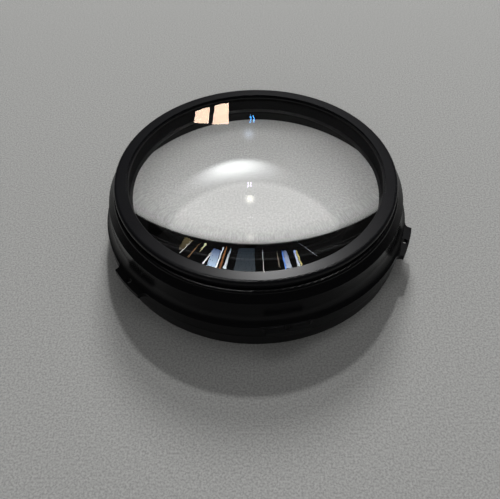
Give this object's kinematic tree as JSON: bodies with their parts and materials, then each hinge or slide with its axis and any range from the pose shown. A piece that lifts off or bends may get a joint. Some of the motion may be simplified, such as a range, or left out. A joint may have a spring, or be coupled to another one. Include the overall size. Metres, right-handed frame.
{
  "type": "objective lens",
  "caption": "Large plano-convex objective lens in a round black metal cell, with a flat front rim, a flared body and thin mounting lugs round its flange.",
  "frame": {"origin": "centre of the flat rear face of the cell, the face that it rests on", "axes": "+Z along the optical axis towards the front rim; a mounting lug lies 20 degrees clockwise of +X, seen from the front"},
  "size_m": [0.1964, 0.2012, 0.048],
  "materials": {
    "cell_black": "satin black anodised",
    "rim_black": "satin black anodised, turned face",
    "ring_black": "satin black anodised",
    "lens_glass": "clear polished, coated",
    "seal_rubber": "matte",
    "screw_steel": "black oxide",
    "washer_steel": "zinc plated"
  },
  "bodies": {
    "root": {"lens_cell": "cell_black", "front_ring": "rim_black", "rear_ring": "ring_black", "objective_glass": "lens_glass", "front_seal": "seal_rubber", "seat_gasket": "seal_rubber", "joint_gasket": "seal_rubber", "centring_pad_1": "seal_rubber", "centring_pad_2": "seal_rubber", "centring_pad_3": "seal_rubber", "ring_screw_1": "screw_steel", "ring_screw_2": "screw_steel", "ring_screw_3": "screw_steel", "ring_screw_4": "screw_steel", "ring_screw_5": "screw_steel", "ring_screw_6": "screw_steel", "lock_washer_1": "washer_steel", "lock_washer_2": "washer_steel", "lock_washer_3": "washer_steel", "lock_washer_4": "washer_steel", "lock_washer_5": "washer_steel", "lock_washer_6": "washer_steel"}
  },
  "joints": []
}
